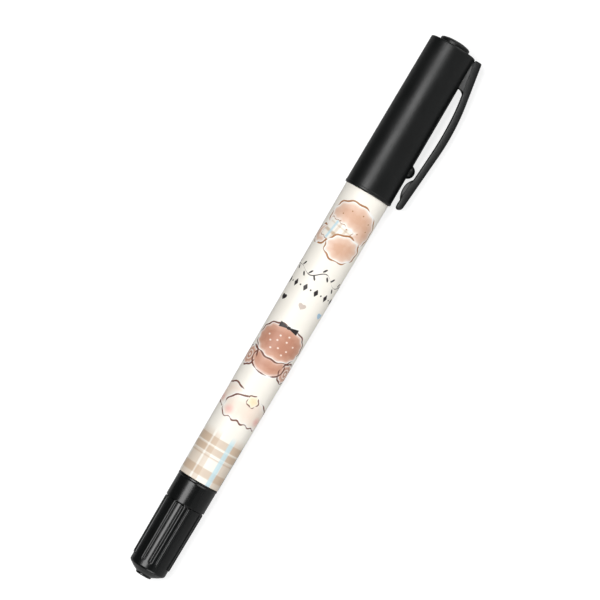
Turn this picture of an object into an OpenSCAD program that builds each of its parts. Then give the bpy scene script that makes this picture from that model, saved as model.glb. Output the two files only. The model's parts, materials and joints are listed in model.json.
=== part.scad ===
// Twin-tip felt marker: a printed barrel with a bullet nib under a big clip cap
// and an extra-fine nib under a small ribbed cap. All sizes are in millimetres.
// The pen lies along X, small cap at the origin, big cap towards +X.

/* [Lengths along the pen] */
// Length of the small cap, end face to rim
small_cap_len = 24.5; // [20:0.5:30]
// Length of barrel that shows between the two rims
barrel_show = 74.2; // [60:0.1:95]
// Length of the big cap, rim to crown face
big_cap_len = 39.3; // [32:0.1:50]

/* [Barrel] */
// Barrel radius over the print at the big cap
barrel_r_big = 5.38; // [5:0.01:6.5]
// Barrel radius over the print at the small cap
barrel_r_small = 4.93; // [4.6:0.01:6]
// Thickness of the printed film
film_t = 0.08; // [0.05:0.01:0.2]
// Bore radius of the barrel at its big end
bore_r_big = 3.95; // [3.6:0.01:4.1]
// Bore radius of the barrel at its small end
bore_r_small = 3.75; // [3.6:0.01:3.9]
// Length of the neck that enters the big cap
neck_len_big = 8; // [6:0.5:10]
// Length of the neck that enters the small cap
neck_len_small = 6; // [5:0.5:7.5]
// How far the snap rings stand proud of a neck
snap_ring_h = 0.14; // [0.08:0.01:0.2]
// Width of a snap ring
snap_ring_w = 0.9; // [0.6:0.1:1.2]
// Number of ribs that hold the reservoir off the bore
bore_ribs = 6; // [3:1:10]
// Width of a bore rib
bore_rib_w = 0.5; // [0.3:0.1:1]

/* [Ink reservoir] */
// Radius of the fibre rod
reservoir_r = 3.35; // [3:0.01:3.45]
// Thickness of the film wrapped round the rod
wrap_t = 0.12; // [0.05:0.01:0.15]

/* [Bullet nib and its holder] */
// Radius of the felt rod
nib_r = 1.9; // [1.4:0.05:2.4]
// Length of nib that stands out of its holder
nib_out = 5.6; // [4.5:0.1:6]
// Radius of the rounded writing tip
nib_tip_r = 0.75; // [0.4:0.05:1.1]
// How deep the nib reaches into the reservoir
nib_tail = 6; // [4:0.5:10]
// Length of the holder pressed into the barrel
holder_plug_len = 9; // [6:0.5:12]
// How far the holder's flange stays inside the barrel's neck
flange_step = 0.2; // [0.1:0.05:0.3]
// Radius of the land that the inner cap seals on
holder_land_r = 3.3; // [3:0.05:3.4]
// Length of the holder in front of the barrel neck
holder_nose_len = 10; // [8:0.5:12]

/* [Extra-fine nib and its holder] */
// Radius of the plastic nib rod
fine_nib_r = 0.7; // [0.5:0.05:0.9]
// Length of extra-fine nib that stands out of its holder
fine_nib_out = 2.6; // [2:0.1:3.2]
// Radius of the extra-fine writing tip
fine_tip_r = 0.2; // [0.15:0.05:0.4]
// How deep the extra-fine nib reaches into the reservoir
fine_nib_tail = 5; // [3:0.5:8]
// Length of the extra-fine holder pressed into the barrel
fine_plug_len = 7.5; // [6:0.5:8]
// Radius of the extra-fine holder's plug
fine_plug_r = 3.05; // [2.8:0.01:3.1]
// Radius of the extra-fine holder's sealing land
fine_land_r = 2.6; // [2.2:0.05:2.7]
// Length of the extra-fine holder in front of the barrel neck
fine_nose_len = 8; // [6:0.5:9]

/* [Big cap] */
// Outer radius of the big cap just above its rim roll
cap_r_mouth = 5.74; // [5.5:0.01:6.9]
// How much narrower the big cap is at its shoulder
cap_draft = 0.17; // [0.05:0.01:0.25]
// How far the rim roll stands proud of the big cap
rim_roll_h = 0.06; // [0.03:0.01:0.12]
// Wall thickness of the big cap
cap_wall = 0.95; // [0.8:0.01:1.2]
// Thickness of the big cap's top
cap_top_t = 1.2; // [0.8:0.1:2]
// Radius of the crown disc
crown_r = 3.6; // [3:0.05:4.2]
// Height of the crown disc above the shoulder
crown_h = 1.4; // [0.8:0.1:2]
// Length of the crown disc's stem, below the shoulder
crown_stem = 4; // [2.5:0.5:6]
// Radius of the round bump under the clip
bump_r = 1.65; // [1.2:0.05:2]
// How far the bump stands out of the cap wall
bump_h = 1.15; // [0.6:0.05:1.5]
// Distance of the bump from the rim
bump_up = 8.8; // [7:0.1:12]

/* [Clip] */
// Width of the clip, seen from outside
clip_w = 3.6; // [2.8:0.1:5]
// Thickness of the clip arm
clip_t = 1.65; // [1.2:0.05:2]
// Largest distance of the clip's outer face from the cap's mouth radius
clip_stand = 3.91; // [3.6:0.01:5]
// Radius of the clip's curved outer face
clip_bend_r = 56; // [40:1:90]
// Slope of the clip at its root, in degrees
clip_root_slope = 9.5; // [7:0.5:12]
// Slope of the clip towards its tip, in degrees
clip_tip_slope = 4.3; // [2:0.1:6]
// Distance of the clip's tip from the rim
clip_tip_up = 0.3; // [0:0.1:3]
// Radius of the rounded foot inside the tip
foot_r = 3.6; // [2.5:0.1:4.5]
// Gap that the foot leaves to the cap
foot_gap = 0.45; // [0.3:0.05:1.5]
// Width of the web that carries the clip
web_w = 2.2; // [1.4:0.1:3]
// Length of that web, down from the top of the clip
web_len = 7.9; // [5:0.1:10]

/* [Small cap] */
// Outer radius of the small cap's smooth collar
collar_r = 4.8; // [4.6:0.01:5.8]
// How far the rim bead stands proud of the collar
rim_bead_h = 0.1; // [0.05:0.01:0.2]
// Length of the smooth collar, rim bead included
collar_len = 6; // [4:0.1:8]
// Step from the collar down to the ribbed part
grip_step = 0.23; // [0.2:0.01:0.35]
// How much narrower the ribbed part is at its end
grip_draft = 0.15; // [0.05:0.01:0.2]
// Wall thickness at the small cap's mouth
small_wall = 0.75; // [0.6:0.01:0.9]
// Wall thickness of the ribbed part
grip_wall = 0.82; // [0.7:0.01:0.84]
// Number of rib groups round the small cap
rib_groups = 4; // [2:1:5]
// Ribs in one group
ribs_in_group = 3; // [1:1:4]
// Angle between the ribs of one group, in degrees
rib_pitch = 22; // [16:1:24]
// Radius of a rib's round back
rib_r = 0.38; // [0.3:0.01:0.5]
// How far a rib stands out of the wall
rib_h = 0.17; // [0.1:0.01:0.25]
// Distance of the ribs' rounded ends from the end face
rib_start = 3.5; // [3:0.1:6]
// Radius of the disc in the small cap's end
end_disc_r = 1.7; // [1.4:0.05:2.2]

/* [Fits] */
// Radial clearance where a cap slides on its neck
slide_clear = 0.05; // [0.03:0.01:0.08]
// Radial clearance of a pressed-in piece
press_clear = 0.02; // [0.01:0.01:0.04]
// Gap between a cap's rim and the barrel's shoulder
rim_gap = 0.1; // [0.05:0.05:0.3]
// Clearance round the clip's flexing root
flex_clear = 0.04; // [0.02:0.01:0.1]

/* [Hidden] */
$fn = 96;

// stations along the pen
x_small_rim = small_cap_len;
x_big_rim = small_cap_len + barrel_show;
x_crown = x_big_rim + big_cap_len;
x_shoulder = x_crown - crown_h;
x_neck_big = x_big_rim + neck_len_big;
x_neck_small = x_small_rim - neck_len_small;
x_nose = x_neck_big + holder_nose_len;
x_nib_tip = x_nose + nib_out;
x_fine_nose = x_neck_small - fine_nose_len;
x_fine_tip = x_fine_nose - fine_nib_out;
x_plug_back = x_neck_big - holder_plug_len;
x_fine_plug_back = x_neck_small + fine_plug_len;

// outer radii that follow from the ones above
cap_r_top = cap_r_mouth - cap_draft;
cap_rim_r = cap_r_mouth + rim_roll_h;
clip_reach = cap_r_mouth + clip_stand;
small_rim_r = collar_r + rim_bead_h;
grip_r_top = collar_r - grip_step;
grip_r_end = grip_r_top - grip_draft;
small_bore_r = grip_r_top - grip_wall;

// fits of the caps on the necks
cap_bore_mouth = cap_r_mouth - cap_wall;
cap_bore_top = cap_r_top - cap_wall;
ring_r_big = cap_bore_mouth - slide_clear;
neck_r_big = ring_r_big - snap_ring_h;
holder_flange_r = neck_r_big - flange_step;
small_mouth_r = collar_r - small_wall;
ring_r_small = small_mouth_r - slide_clear;
neck_r_small = ring_r_small - snap_ring_h;
x_small_step = x_neck_small - 0.7;

// the reservoir and what it seats against
wrap_r = reservoir_r + wrap_t;
bore_rib_r = wrap_r + press_clear;
end_gap = 0.3;
x_res_end = x_plug_back - end_gap;
x_res_start = x_fine_plug_back + end_gap;
fine_seat_r = fine_plug_r + press_clear;
holder_plug_r = bore_r_big - press_clear;

// the inner caps
seal_start = 2.2;
seal_wall = 0.8;
x_seal = x_neck_big + seal_start;
x_seal_end = x_nib_tip + 2.5;
seal_land_r = holder_land_r + slide_clear;
fine_seal_start = 2;
x_fine_seal = x_neck_small - fine_seal_start;
fine_seal_land_r = fine_land_r + slide_clear;
x_fine_seal_end = 4.6;

// the clip's outline, drawn as distance from the pen axis against station
x_clip_top = x_shoulder - 0.2;
x_web_end = x_clip_top - web_len;
pivot_drop = 1.2;
x_pivot = x_web_end - pivot_drop;
bend_drop = 0.25;
clip_hook_x = x_pivot - bend_drop - clip_bend_r * sin(clip_root_slope);
clip_hook_c = clip_reach - clip_bend_r;
bend_at = [clip_hook_x, clip_hook_c];
root_turn = 90 - clip_root_slope;
bend_to = 90 + clip_tip_slope;
pivot_out = outer_at(x_pivot) - clip_t / 2 / cos(clip_root_slope);
x_foot = x_big_rim + 5.2;
foot_in = cap_r_mouth + foot_gap;
x_tip = x_big_rim + clip_tip_up;
// corners of the tip: [distance past the tip, depth below the outer face]
tip_bevels = [[0.8, 0], [0, 0.9], [1.3, 1.3], [1.6, clip_t]];
cap_slope = (cap_r_mouth - cap_r_top) / (x_shoulder - x_big_rim);

// how the pen rests: on both rims and the clip's lower edge
desk_slope = (cap_rim_r - small_rim_r) / barrel_show;
desk_at_clip = cap_rim_r + desk_slope * (clip_hook_x - x_big_rim);
clip_corner = norm([clip_reach, clip_w / 2]);
clip_roll = asin(desk_at_clip / clip_corner) - atan2(clip_w / 2, clip_reach);

// turn of the front rib group, away from the clip's side, in degrees
rib_phase = -2;

// small edge roundings
edge = 0.3;
rim_roll_len = 0.7;
lead_in = 0.2;

// Points of an arc in the drawing plane
function arc(c, r, a0, a1, n = 6) =
    [for (i = [0:n]) let (a = a0 + (a1 - a0) * i / n) c + r * [cos(a), sin(a)]];

// Distance of the clip's outer face from the axis, on the straight above its bend
function outer_at(x) = clip_hook_c + clip_bend_r * cos(clip_root_slope)
    - (x - clip_hook_x - clip_bend_r * sin(clip_root_slope)) * tan(clip_root_slope);

// The same on the straight below its bend
function lower_outer_at(x) = clip_hook_c + clip_bend_r * cos(clip_tip_slope)
    + (x - clip_hook_x + clip_bend_r * sin(clip_tip_slope)) * tan(clip_tip_slope);

// Outer radius of the big cap at a station
function cap_r_at(x) = cap_r_mouth - (x - x_big_rim) * cap_slope;

// Barrel radius over the print at a station
function barrel_r_at(x) =
    barrel_r_small + (barrel_r_big - barrel_r_small) * (x - x_small_rim) / barrel_show;

// Turns a profile of [radius, station] points round the pen axis
module lathe(points)
    rotate([0, 90, 0])
        rotate_extrude()
            polygon(points);

// A plain cylinder along the pen between two stations
module rod(x0, x1, r)
    translate([x0, 0, 0])
        rotate([0, 90, 0])
            cylinder(h = x1 - x0, r = r);

// Turns a shape drawn with the clip towards -Y to the clip's place at rest
module clip_side()
    rotate([clip_roll, 0, 0])
        children();

// A flat plate of the clip from an outline of [station, distance from axis]
module clip_plate(points, w)
    mirror([0, 1, 0])
        linear_extrude(height = w, center = true)
            polygon(points);

module barrel_tube() color("#FBF7EF") {
    x0 = x_small_rim + rim_gap;
    x1 = x_big_rim - rim_gap;
    lathe([
        [fine_seat_r, x_neck_small],
        [neck_r_small, x_neck_small],
        [neck_r_small, x0],
        [barrel_r_at(x0) - film_t, x0],
        [barrel_r_at(x1) - film_t, x1],
        [neck_r_big, x1],
        [neck_r_big, x_neck_big],
        [bore_r_big, x_neck_big],
        [bore_r_big, x_plug_back],
        [bore_r_small, x_fine_plug_back],
        [fine_seat_r, x_fine_plug_back]
    ]);
    for (x = [x_big_rim + 1.6, x_neck_big - 1.6])
        snap_ring(x, neck_r_big);
    for (x = [x_small_rim - 1.4, x_neck_small + 1.4])
        snap_ring(x, neck_r_small);
    bore_rib_set();
}

// Snap ring on a neck, with sloping flanks
module snap_ring(x, r)
    lathe([
        [r - 0.2, x - snap_ring_w / 2 - 0.1],
        [r, x - snap_ring_w / 2],
        [r + snap_ring_h, x - snap_ring_w / 4],
        [r + snap_ring_h, x + snap_ring_w / 4],
        [r, x + snap_ring_w / 2],
        [r - 0.2, x + snap_ring_w / 2 + 0.1]
    ]);

// Ribs along the bore, cut to the reservoir's radius
module bore_rib_set()
    difference() {
        for (i = [0:bore_ribs - 1])
            rotate([i * 360 / bore_ribs, 0, 0])
                translate([x_res_start, 0, -bore_rib_w / 2])
                    cube([x_res_end - x_res_start, bore_r_small + 0.3, bore_rib_w]);
        rod(x_res_start - 1, x_res_end + 1, bore_rib_r);
    }

module print_film() color("#FDFBF5") {
    x0 = x_small_rim + rim_gap;
    x1 = x_big_rim - rim_gap;
    lathe([
        [barrel_r_at(x0) - film_t, x0],
        [barrel_r_at(x0), x0],
        [barrel_r_at(x1), x1],
        [barrel_r_at(x1) - film_t, x1]
    ]);
}

module ink_reservoir() color("#2B2730")
    difference() {
        rod(x_res_start, x_res_end, reservoir_r);
        rod(x_res_end - nib_tail, x_res_end + 1, nib_r + press_clear);
        rod(x_res_start - 1, x_res_start + fine_nib_tail, fine_nib_r + press_clear);
    }

module reservoir_wrap() color("#E9ECEE")
    difference() {
        rod(x_res_start, x_res_end, wrap_r);
        rod(x_res_start - 1, x_res_end + 1, reservoir_r);
    }

module fine_holder() color("#EDEAE4") {
    bore = nib_r + press_clear;
    land_end = x_neck_big + 6;
    lathe([
        [bore, x_plug_back],
        [holder_plug_r - edge, x_plug_back],
        [holder_plug_r, x_plug_back + 2 * edge],
        [holder_plug_r, x_neck_big],
        [holder_flange_r, x_neck_big],
        [holder_flange_r, x_neck_big + 1],
        [holder_flange_r - 0.2, x_neck_big + 1.2],
        [holder_land_r, x_neck_big + 1.2],
        [holder_land_r, land_end],
        [bore + 0.75, x_nose - edge],
        [bore + 0.45, x_nose],
        [bore, x_nose]
    ]);
}

module fine_nib() color("#17151A") {
    x_cone = x_nose + 1.2;
    flank = atan2(x_nib_tip - nib_tip_r - x_cone, nib_r - nib_tip_r);
    lathe(concat(
        [[0, x_res_end - nib_tail], [nib_r, x_res_end - nib_tail], [nib_r, x_cone]],
        arc([0, x_nib_tip - nib_tip_r], nib_tip_r, 90 - flank, 90)
    ));
}

module extra_fine_holder() color("#EDEAE4") {
    bore = fine_nib_r + press_clear;
    flange_r = small_bore_r - 0.15;
    lathe([
        [bore, x_fine_plug_back],
        [fine_plug_r - edge, x_fine_plug_back],
        [fine_plug_r, x_fine_plug_back - 2 * edge],
        [fine_plug_r, x_neck_small],
        [flange_r, x_neck_small],
        [flange_r, x_neck_small - 0.8],
        [flange_r - 0.2, x_neck_small - 1],
        [fine_land_r, x_neck_small - 1],
        [fine_land_r, x_neck_small - 4.2],
        [bore + 0.55, x_fine_nose + edge],
        [bore + 0.3, x_fine_nose],
        [bore, x_fine_nose]
    ]);
}

module extra_fine_nib() color("#17151A") {
    x_cone = x_fine_nose - 0.3;
    flank = atan2(x_cone - x_fine_tip - fine_tip_r, fine_nib_r - fine_tip_r);
    lathe(concat(
        [[0, x_res_start + fine_nib_tail], [fine_nib_r, x_res_start + fine_nib_tail], [fine_nib_r, x_cone]],
        arc([0, x_fine_tip + fine_tip_r], fine_tip_r, flank - 90, -90)
    ));
}

// The big cap's moulding: tube, bump, and the web and stub that carry the clip
module cap_shell() color("#24282A") {
    hole_r = crown_r - 0.7;
    difference() {
        union() {
            lathe(concat(
                [[hole_r - 0.5, x_big_rim]],
                arc([cap_rim_r - edge, x_big_rim + edge], edge, -90, 0, 4),
                [[cap_rim_r, x_big_rim + rim_roll_len - 0.15]],
                [[cap_r_at(x_big_rim + rim_roll_len), x_big_rim + rim_roll_len]],
                arc([cap_r_top - edge, x_shoulder - edge], edge, 0, 90, 4),
                [[hole_r - 0.5, x_shoulder]]
            ));
            clip_side()
                translate([x_big_rim + bump_up, bump_h - cap_r_at(x_big_rim + bump_up), 0])
                    translate([0, -(2 * bump_h - bump_r), 0])
                        sphere(r = bump_r);
            clip_side()
                clip_root();
        }
        lathe([
            [0, x_big_rim - 1],
            [cap_bore_mouth + lead_in, x_big_rim - 1],
            [cap_bore_mouth + lead_in, x_big_rim],
            [cap_bore_mouth, x_big_rim + 2 * lead_in],
            [cap_bore_mouth, x_neck_big + 0.5],
            [cap_bore_top, x_shoulder - cap_top_t],
            [0, x_shoulder - cap_top_t]
        ]);
        rod(x_shoulder - cap_top_t - 1, x_shoulder + 1, hole_r);
    }
}

// Web on the cap wall, and the stub of the clip down to its flexing root
module clip_root() {
    half = clip_t / 2 / cos(clip_root_slope);
    wall = 0.3;
    clip_plate([
        [x_web_end, cap_r_at(x_web_end) - wall],
        [x_web_end, outer_at(x_web_end) - 2 * half + 0.1],
        [x_clip_top - edge, outer_at(x_clip_top) - 2 * half + 0.1],
        [x_clip_top - edge, cap_r_at(x_clip_top) - wall]
    ], web_w);
    difference() {
        clip_plate([
            [x_pivot, pivot_out - half],
            [x_pivot, pivot_out + half],
            [x_clip_top - edge, outer_at(x_clip_top - edge)],
            [x_clip_top, outer_at(x_clip_top) - edge],
            [x_clip_top, cap_r_at(x_clip_top) + 0.9],
            [x_clip_top - 0.5, cap_r_at(x_clip_top) + 0.6],
            [x_clip_top - 0.5, outer_at(x_clip_top) - 2 * half]
        ], clip_w);
        translate([x_pivot, -pivot_out, 0])
            cylinder(h = 2 * clip_w, r = clip_t / 2 + flex_clear, center = true);
    }
}

module cap_inner_seal() color("#D9D6CF") {
    cup_r = seal_land_r + seal_wall;
    x_flange = x_seal_end - 2.5;
    rim_fit = cap_bore_top - press_clear;
    lathe([
        [0, x_seal_end - 1],
        [seal_land_r + 0.2, x_seal_end - 1],
        [seal_land_r + 0.2, x_seal + 2.5],
        [seal_land_r, x_seal + 2.2],
        [seal_land_r, x_seal + edge],
        [seal_land_r + edge, x_seal],
        [cup_r - edge, x_seal],
        [cup_r, x_seal + edge],
        [cup_r, x_flange],
        [rim_fit, x_flange + 0.3],
        [rim_fit, x_seal_end],
        [0, x_seal_end]
    ]);
}

module crown_plug() color("#24282A") {
    stem_r = crown_r - 0.7 - press_clear;
    x_stem = x_shoulder - crown_stem;
    lathe(concat(
        [[0, x_stem], [stem_r - edge, x_stem], [stem_r, x_stem + edge]],
        [[stem_r, x_shoulder], [crown_r, x_shoulder]],
        arc([crown_r - 0.5, x_crown - 0.5], 0.5, 0, 90),
        [[0, x_crown]]
    ));
}

// The free arm of the clip, with its round root, its foot and its chamfered tip
module clip_arm() color("#24282A")
    clip_side() {
        clip_plate(concat(
            arc([x_pivot, pivot_out], clip_t / 2, root_turn - 180, root_turn, 24),
            arc(bend_at, clip_bend_r, root_turn, bend_to, 12),
            [for (p = tip_bevels) [x_tip + p[0], lower_outer_at(x_tip + p[0]) - p[1]]],
            arc(bend_at, clip_bend_r - clip_t, bend_to, root_turn, 12)
        ), clip_w);
        clip_foot();
    }

// Round foot inside the tip, cut off at the middle of the arm's thickness
module clip_foot() {
    x0 = x_foot - 2 * foot_r;
    x1 = x_foot + 2 * foot_r;
    far = clip_reach + 2 * foot_r;
    difference() {
        translate([x_foot, -foot_in - foot_r, 0])
            cylinder(h = clip_w, r = foot_r, center = true);
        clip_plate([
            [x0, lower_outer_at(x0) - clip_t / 2],
            [x1, lower_outer_at(x1) - clip_t / 2],
            [x1, far],
            [x0, far]
        ], 2 * clip_w);
    }
}

module small_cap_shell() color("#1D2022") {
    x_corner = 1.9;
    x_collar = x_small_rim - collar_len;
    bead_r = 0.4;
    bead_turn = acos((collar_r - small_rim_r) / bead_r + 1);
    hole_r = end_disc_r - 0.4;
    difference() {
        union() {
            lathe(concat(
                [[0.5, 0.55], [end_disc_r + 0.35, 0.55]],
                arc([grip_r_end - 0.5, x_corner + 0.25], 0.5, -60, 0, 5),
                [[grip_r_top, x_collar], [collar_r, x_collar]],
                arc([small_rim_r - bead_r, x_small_rim - bead_r], bead_r, -bead_turn, 90, 8),
                [[0.5, x_small_rim]]
            ));
            for (g = [0:rib_groups - 1], i = [0:ribs_in_group - 1])
                rotate([rib_turn(g, i), 0, 0])
                    grip_rib();
        }
        lathe([
            [0, x_small_rim + 1],
            [small_mouth_r + lead_in, x_small_rim + 1],
            [small_mouth_r + lead_in, x_small_rim],
            [small_mouth_r, x_small_rim - 2 * lead_in],
            [small_mouth_r, x_small_step],
            [small_bore_r, x_small_step],
            [small_bore_r - 0.15, 2.6],
            [0, 2.6]
        ]);
        rod(-1, 4, hole_r);
    }
}

// Turn of rib i of group g round the pen, from -Y
function rib_turn(g, i) = clip_roll + 90 + rib_phase
    + g * 360 / rib_groups + (i - (ribs_in_group - 1) / 2) * rib_pitch;

// One rib of the small cap, following the wall's slope, with a ball end
module grip_rib() {
    x_collar = x_small_rim - collar_len;
    fall = atan2(grip_r_top - grip_r_end, x_collar - 2.15);
    axis_r = grip_r_end + (rib_start - 2.15) * tan(fall) + rib_h - rib_r;
    translate([rib_start + rib_r, -axis_r, 0])
        rotate([0, 0, -fall]) {
            sphere(r = rib_r);
            rotate([0, 90, 0])
                cylinder(h = x_collar - rib_start, r = rib_r);
        }
}

module small_cap_inner_seal() color("#D9D6CF") {
    cup_r = fine_seal_land_r + 0.6;
    rim_fit = small_bore_r - 0.15 - press_clear;
    lathe([
        [0, x_fine_seal_end + 0.9],
        [fine_seal_land_r + 0.2, x_fine_seal_end + 0.9],
        [fine_seal_land_r + 0.2, x_fine_seal - 2],
        [fine_seal_land_r, x_fine_seal - 1.8],
        [fine_seal_land_r, x_fine_seal - edge / 2],
        [fine_seal_land_r + edge / 2, x_fine_seal],
        [cup_r - edge / 2, x_fine_seal],
        [cup_r, x_fine_seal - edge / 2],
        [cup_r, x_fine_seal_end + 2.2],
        [rim_fit, x_fine_seal_end + 2],
        [rim_fit, x_fine_seal_end],
        [0, x_fine_seal_end]
    ]);
}

module small_cap_end_plug() color("#1D2022") {
    stem_r = end_disc_r - 0.4 - press_clear;
    lathe(concat(
        [[0, 0]],
        arc([end_disc_r - 0.25, 0.25], 0.25, -90, 0, 4),
        [[end_disc_r, 0.55], [stem_r, 0.55]],
        [[stem_r, x_fine_seal_end - 0.6 - edge], [stem_r - edge, x_fine_seal_end - 0.6]],
        [[0, x_fine_seal_end - 0.6]]
    ));
}

barrel_tube();
print_film();
ink_reservoir();
reservoir_wrap();
fine_holder();
fine_nib();
extra_fine_holder();
extra_fine_nib();
cap_shell();
cap_inner_seal();
crown_plug();
clip_arm();
small_cap_shell();
small_cap_inner_seal();
small_cap_end_plug();
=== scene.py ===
# %% [markdown]
# A twin-tip felt marker lies on a desk: a printed cream barrel, a big black cap with a pocket clip
# over a bullet nib, and a small ribbed cap over an extra-fine nib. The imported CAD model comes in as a
# fixed frame. It could be shown as it is, but its meshes are flats with sharp edges, so each piece
# that can be seen is drawn again here as a smooth surface in the same place. Four pieces that stay
# hidden inside keep their CAD meshes and only get a finish.

# %% Load the frame
import json
import math

import bmesh
import bpy
import numpy as np
from mathutils import Matrix, Vector


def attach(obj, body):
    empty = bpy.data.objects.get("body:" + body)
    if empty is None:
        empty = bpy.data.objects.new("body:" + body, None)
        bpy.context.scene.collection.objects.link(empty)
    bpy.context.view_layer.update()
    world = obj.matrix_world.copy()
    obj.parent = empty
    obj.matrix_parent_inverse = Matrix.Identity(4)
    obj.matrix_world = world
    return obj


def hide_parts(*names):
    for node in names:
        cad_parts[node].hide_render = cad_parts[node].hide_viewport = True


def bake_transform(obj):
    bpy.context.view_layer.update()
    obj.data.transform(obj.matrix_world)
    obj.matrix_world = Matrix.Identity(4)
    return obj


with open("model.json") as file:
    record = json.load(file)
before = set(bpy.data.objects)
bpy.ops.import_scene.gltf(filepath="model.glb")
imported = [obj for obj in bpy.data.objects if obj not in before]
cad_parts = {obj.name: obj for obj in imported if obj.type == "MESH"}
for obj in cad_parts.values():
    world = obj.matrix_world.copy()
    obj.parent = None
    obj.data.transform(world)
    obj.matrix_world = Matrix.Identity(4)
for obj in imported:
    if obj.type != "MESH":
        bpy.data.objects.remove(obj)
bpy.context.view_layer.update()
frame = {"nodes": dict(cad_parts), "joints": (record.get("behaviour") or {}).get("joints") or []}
bpy.context.scene.view_settings.view_transform = "Standard"
MM = 0.001                         # a millimetre, in metres

# %% [markdown]
# The main sizes are read off the frame, so the drawing follows the CAD if it changes. Inner steps,
# roundings and small details are written out where they are used, all in millimetres. The clip's
# hinge tells how the pen lies: its axis is square to the plane of the clip. "Facing" is that
# direction, and "clipward" points from the pen's axis towards the clip.

# %% Directions and sizes
flex = next(j for j in frame["joints"] if j["name"] == "clip_flex")
ALONG = np.array((1.0, 0.0, 0.0))
FACING = np.array(flex["axis"]) / np.linalg.norm(flex["axis"])
CLIPWARD = np.cross(ALONG, FACING)
REACH_OUT = 0.02                   # a corner this near a station counts as being at it


def corners(node):
    """All corners of a CAD node: station along the pen, distance from its axis, reach clipward."""
    vertices = frame["nodes"][node].data.vertices
    flat = np.zeros(len(vertices) * 3)
    vertices.foreach_get("co", flat)
    points = flat.reshape(-1, 3) / MM
    return points[:, 0], np.hypot(points[:, 1], points[:, 2]), points @ CLIPWARD


def radius(node, x0, x1, pick=np.max):
    """Radius of a turned node between two stations, on the side away from the clip."""
    x, r, reach = corners(node)
    near = (x > x0 - REACH_OUT) & (x < x1 + REACH_OUT) & (reach <= 0)
    return float(pick(r[near]))


def ends(node):
    """First and last station of a node."""
    x = corners(node)[0]
    return float(x.min()), float(x.max())


BIG_RIM, SHOULDER = ends("cap_shell")
CROWN = ends("crown_plug")[1]
SMALL_RIM = ends("small_cap_shell")[1]
FILM_START, FILM_END = ends("print_film")
film_r_small = radius("print_film", FILM_START, FILM_START)
film_r_big = radius("print_film", FILM_END, FILM_END)
print("rims", round(SMALL_RIM, 2), round(BIG_RIM, 2),
      "shoulder", round(SHOULDER, 2), "crown", round(CROWN, 2))
print("film radius", round(film_r_small, 3), "to", round(film_r_big, 3))

# %% [markdown]
# A turned piece is a profile carried round the axis. Moulded edges are never sharp, and a small
# round edge is what catches the light, so the profile's corners are written with their radius and
# a helper puts the arc in. The rings of points then become one closed skin of quads.

# %% Profiles and skins
WELD = 1e-7                        # points nearer than this, in metres, are one


def rounded(corner_list, closed=True, steps=5):
    """Profile through corners (station, radius, rounding): each rounded corner becomes an arc that
    touches both of its sides, its centre on the line that halves the corner's angle."""
    full = [tuple(c) + (0.0,) * (3 - len(c)) for c in corner_list]
    line = []
    for i, (x, r, rho) in enumerate(full):
        here = np.array((x, r))
        if rho == 0 or (not closed and i in (0, len(full) - 1)):
            line.append(here[None])
            continue
        back = np.array(full[i - 1][:2]) - here
        on = np.array(full[(i + 1) % len(full)][:2]) - here
        back, on = back / np.linalg.norm(back), on / np.linalg.norm(on)
        half = math.acos(np.clip(back @ on, -1, 1)) / 2
        middle = here + (back + on) / np.linalg.norm(back + on) * rho / math.sin(half)
        first, last = (here + d * rho / math.tan(half) - middle for d in (back, on))
        turn, t = math.pi - 2 * half, np.linspace(0, 1, steps + 1)[:, None]
        arc = np.sin((1 - t) * turn) * first + np.sin(t * turn) * last
        line.append(middle + arc / math.sin(turn))
    return np.vstack(line)


def around(x, r, angle):
    """Points at a station and radius, turned by an angle from facing towards clipward."""
    x, r, angle = np.broadcast_arrays(x, r, angle)
    return (x[..., None] * ALONG
            + (r * np.cos(angle))[..., None] * FACING
            + (r * np.sin(angle))[..., None] * CLIPWARD)


def skin(name, rings, material, loop=True, sharp=40):
    """Closed mesh from rings of points, shape (rings, columns, 3) in mm. Neighbours are joined by
    quads, the columns close round, and loop joins the last ring to the first. The signed volume,
    the sum of p.(q x r)/6 over the faces, tells whether the faces point outwards. An edge that
    turns by more than sharp degrees is shaded as a crease."""
    n, m = rings.shape[:2]
    i = np.arange(n if loop else n - 1)[:, None]
    j = np.arange(m)[None]
    quads = np.stack(np.broadcast_arrays(
        i * m + j, i * m + (j + 1) % m, (i + 1) % n * m + (j + 1) % m, (i + 1) % n * m + j
    ), -1).reshape(-1, 4)
    points = rings.reshape(-1, 3)
    p = points[quads]
    volume = (np.einsum("ij,ij->i", p[:, 0], np.cross(p[:, 1], p[:, 2]))
              + np.einsum("ij,ij->i", p[:, 0], np.cross(p[:, 2], p[:, 3]))).sum()
    if volume < 0:
        quads = quads[:, ::-1]
    mesh = bpy.data.meshes.new(name)
    mesh.from_pydata(points * MM, [], quads.tolist())
    piece = bpy.data.objects.new(name, mesh)
    bpy.context.scene.collection.objects.link(piece)
    mesh.materials.append(material)
    close_poles(mesh)
    mesh.shade_smooth()
    mesh.set_sharp_from_angle(angle=math.radians(sharp))
    print(name, len(mesh.polygons), "faces")
    return piece


def close_poles(mesh):
    """Where a ring has shrunk to one point on the axis, its points are merged into one."""
    work = bmesh.new()
    work.from_mesh(mesh)
    bmesh.ops.remove_doubles(work, verts=work.verts, dist=WELD)
    work.to_mesh(mesh)
    work.free()


def turned(name, profile, material, columns=144, loop=True):
    """Lathe: each profile point (station, radius) becomes a ring round the pen's axis."""
    angle = np.arange(columns) * 2 * np.pi / columns
    return skin(name, around(profile[:, 0, None], profile[:, 1, None], angle[None]), material, loop)


SQUARE = [(0, 1), (0, 2), (1, 2), (1, 1)]
print("a square with rounded corners has", len(rounded([(*c, 0.2) for c in SQUARE])), "points")

# %% [markdown]
# Colours are written as sRGB hex, as a maker's colour card gives them, and Blender works in linear
# light, so one function turns them. One more adds a shader node with its settings and its links.

# %% Colour and node helpers


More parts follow.
